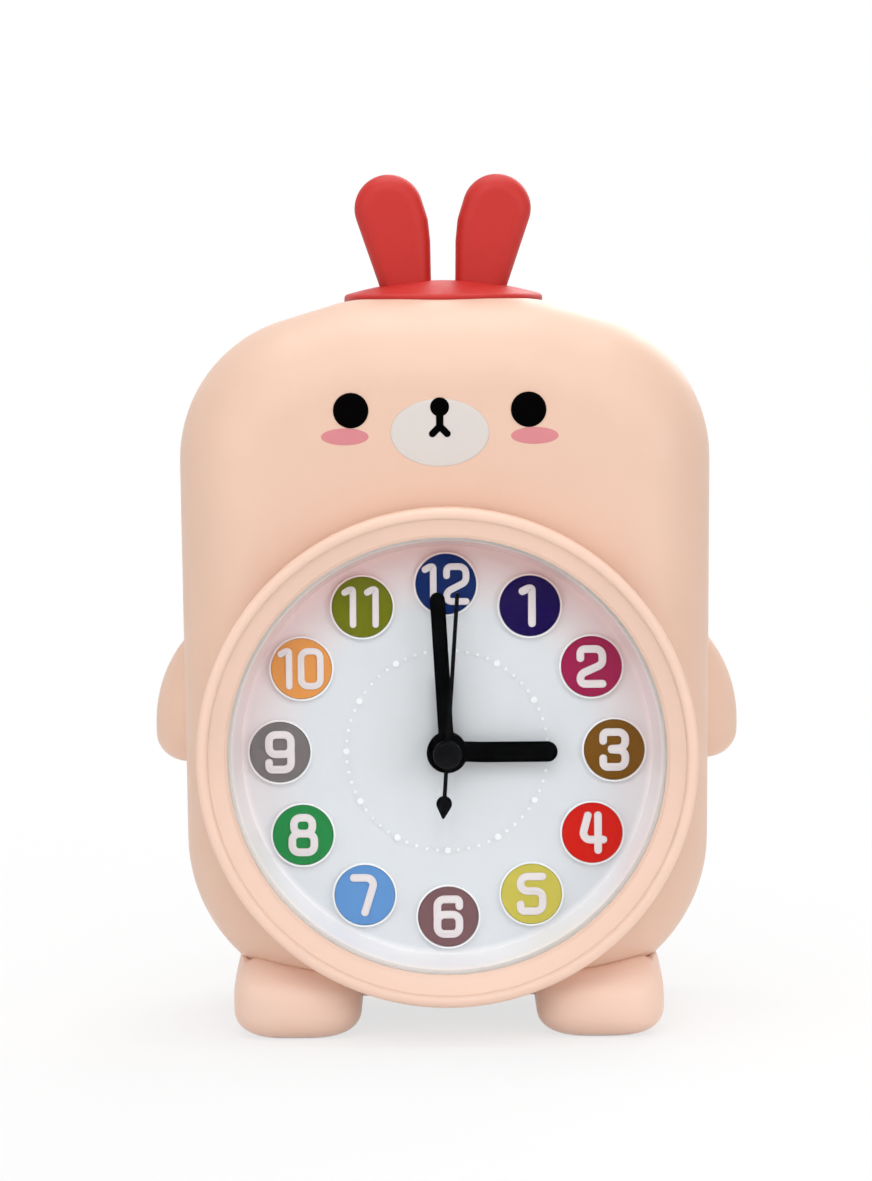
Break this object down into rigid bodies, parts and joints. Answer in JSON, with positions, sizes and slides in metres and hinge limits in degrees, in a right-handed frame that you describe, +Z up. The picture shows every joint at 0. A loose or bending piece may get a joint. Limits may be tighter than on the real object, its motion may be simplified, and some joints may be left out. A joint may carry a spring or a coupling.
{
  "type": "alarm clock",
  "caption": "Child's analog alarm clock: rounded standing-animal case with a big round dial, small arms and feet, and a press button with ears on top.",
  "frame": {"origin": "on the surface that the clock stands on, under the middle of its bounding box", "axes": "+Z up; the dial faces -Y; +X to the right seen from the front"},
  "size_m": [0.1112, 0.0734, 0.1608],
  "materials": {
    "cream_shell": "satin moulded plastic, pale peach cream",
    "cream_rear": "satin moulded plastic, pale peach cream",
    "clear_lens": "clear polished plastic",
    "white_dial": "white moulded plastic",
    "number_colours": "printed discs, each in its own colour",
    "red_button": "moulded red plastic",
    "black_hand": "black paint on thin sheet",
    "screw_steel": "zinc plated",
    "movement_plastic": "black moulded plastic",
    "gear_plastic": "natural white moulded plastic",
    "stator_iron": "bare soft iron sheet",
    "coil_copper": "enamelled copper wire",
    "magnet": "dark magnet with a plastic pinion",
    "spring_steel": "bright spring steel",
    "knob_black": "black moulded plastic",
    "board": "phenolic board",
    "chip_black": "black resin",
    "crystal_can": "metal can",
    "buzzer_black": "black plastic can",
    "lamp_clear": "clear resin",
    "battery_sleeve": "plain printed metal sleeve",
    "door_cream": "satin moulded plastic, pale peach cream"
  },
  "bodies": {
    "case": {"front_case": "cream_shell", "bezel_ring": "cream_shell", "left_arm": "cream_shell", "right_arm": "cream_shell", "left_foot": "cream_shell", "right_foot": "cream_shell", "rear_cover": "cream_rear", "lens": "clear_lens", "dial": "white_dial", "number_discs": "number_colours", "case_screws": "screw_steel", "foot_screws": "screw_steel", "movement_screws": "screw_steel", "board_screws": "screw_steel", "movement_base": "movement_plastic", "movement_cover": "movement_plastic", "stator": "stator_iron", "coil": "coil_copper", "button_spring": "spring_steel", "button_switch": "chip_black", "circuit_board": "board", "chip": "chip_black", "quartz_crystal": "crystal_can", "lamp": "lamp_clear", "buzzer": "buzzer_black", "battery": "battery_sleeve", "battery_plate": "spring_steel", "battery_spring": "spring_steel", "switch_box": "chip_black"},
    "snooze": {"snooze_button": "red_button", "button_clip": "spring_steel"},
    "door": {"battery_door": "door_cream"},
    "slider": {"alarm_switch": "knob_black"},
    "second": {"second_hand": "black_hand", "second_wheel": "gear_plastic"},
    "third": {"third_wheel": "gear_plastic"},
    "centre": {"centre_wheel": "gear_plastic"},
    "intermediate": {"intermediate_wheel": "gear_plastic"},
    "rotor": {"rotor": "magnet"},
    "minute": {"minute_hand": "black_hand", "cannon_pinion": "gear_plastic", "clutch_washer": "spring_steel"},
    "minute_reduction": {"minute_wheel": "gear_plastic"},
    "hour": {"hour_hand": "black_hand", "hour_wheel": "gear_plastic"},
    "time_setting": {"time_knob": "knob_black", "time_arbor": "gear_plastic"},
    "alarm": {"alarm_hand": "black_hand", "alarm_wheel": "gear_plastic"},
    "alarm_setting": {"alarm_knob": "knob_black", "alarm_arbor": "gear_plastic"}
  },
  "joints": [
    {"name": "snooze_press", "type": "slide", "parent": "case", "child": "snooze", "axis": [0, 0, -1], "range_m": [0, 0.002], "stiffness_N_per_m": 300, "springref_m": -0.002, "deforming": ["button_spring"]},
    {"name": "door_swing", "type": "hinge", "parent": "case", "child": "door", "pos_m": [0, 0.03085, 0.01545], "axis": [-1, 0, 0], "range_deg": [0, 95]},
    {"name": "alarm_slide", "type": "slide", "parent": "case", "child": "slider", "axis": [1, 0, 0], "range_m": [0, 0.005]},
    {"name": "second_turn", "type": "hinge", "parent": "case", "child": "second", "pos_m": [0, -0.01975, 0.0533], "axis": [0, 1, 0], "continuous": true},
    {"name": "third_turn", "type": "hinge", "parent": "case", "child": "third", "pos_m": [-0.01218, -0.01975, 0.04887], "axis": [0, 1, 0], "continuous": true},
    {"name": "centre_turn", "type": "hinge", "parent": "case", "child": "centre", "pos_m": [0, -0.01975, 0.0533], "axis": [0, 1, 0], "continuous": true},
    {"name": "intermediate_turn", "type": "hinge", "parent": "case", "child": "intermediate", "pos_m": [0.00219, -0.01975, 0.06571], "axis": [0, 1, 0], "continuous": true},
    {"name": "rotor_turn", "type": "hinge", "parent": "case", "child": "rotor", "pos_m": [0.00219, -0.01975, 0.07531], "axis": [0, 1, 0], "continuous": true},
    {"name": "minute_turn", "type": "hinge", "parent": "case", "child": "minute", "pos_m": [0, -0.01975, 0.0533], "axis": [0, 1, 0], "continuous": true},
    {"name": "minute_reduction_turn", "type": "hinge", "parent": "case", "child": "minute_reduction", "pos_m": [-0.01039, -0.01975, 0.0593], "axis": [0, 1, 0], "continuous": true},
    {"name": "hour_turn", "type": "hinge", "parent": "case", "child": "hour", "pos_m": [0, -0.01975, 0.0533], "axis": [0, 1, 0], "continuous": true},
    {"name": "time_knob_turn", "type": "hinge", "parent": "case", "child": "time_setting", "pos_m": [-0.02221, -0.01975, 0.06138], "axis": [0, 1, 0], "continuous": true},
    {"name": "alarm_turn", "type": "hinge", "parent": "case", "child": "alarm", "pos_m": [0, -0.01975, 0.0533], "axis": [0, 1, 0], "continuous": true},
    {"name": "alarm_knob_turn", "type": "hinge", "parent": "case", "child": "alarm_setting", "pos_m": [0.01299, -0.01975, 0.0608], "axis": [0, 1, 0], "continuous": true}
  ],
  "couplings": [
    {"joint": "third_turn", "follows": "second_turn", "ratio": -0.13333},
    {"joint": "centre_turn", "follows": "second_turn", "ratio": 0.016667},
    {"joint": "intermediate_turn", "follows": "second_turn", "ratio": -6},
    {"joint": "rotor_turn", "follows": "second_turn", "ratio": 30},
    {"joint": "minute_reduction_turn", "follows": "minute_turn", "ratio": -0.33333},
    {"joint": "hour_turn", "follows": "minute_turn", "ratio": 0.083333},
    {"joint": "time_knob_turn", "follows": "minute_turn", "ratio": 1},
    {"joint": "alarm_knob_turn", "follows": "alarm_turn", "ratio": -1.5}
  ]
}
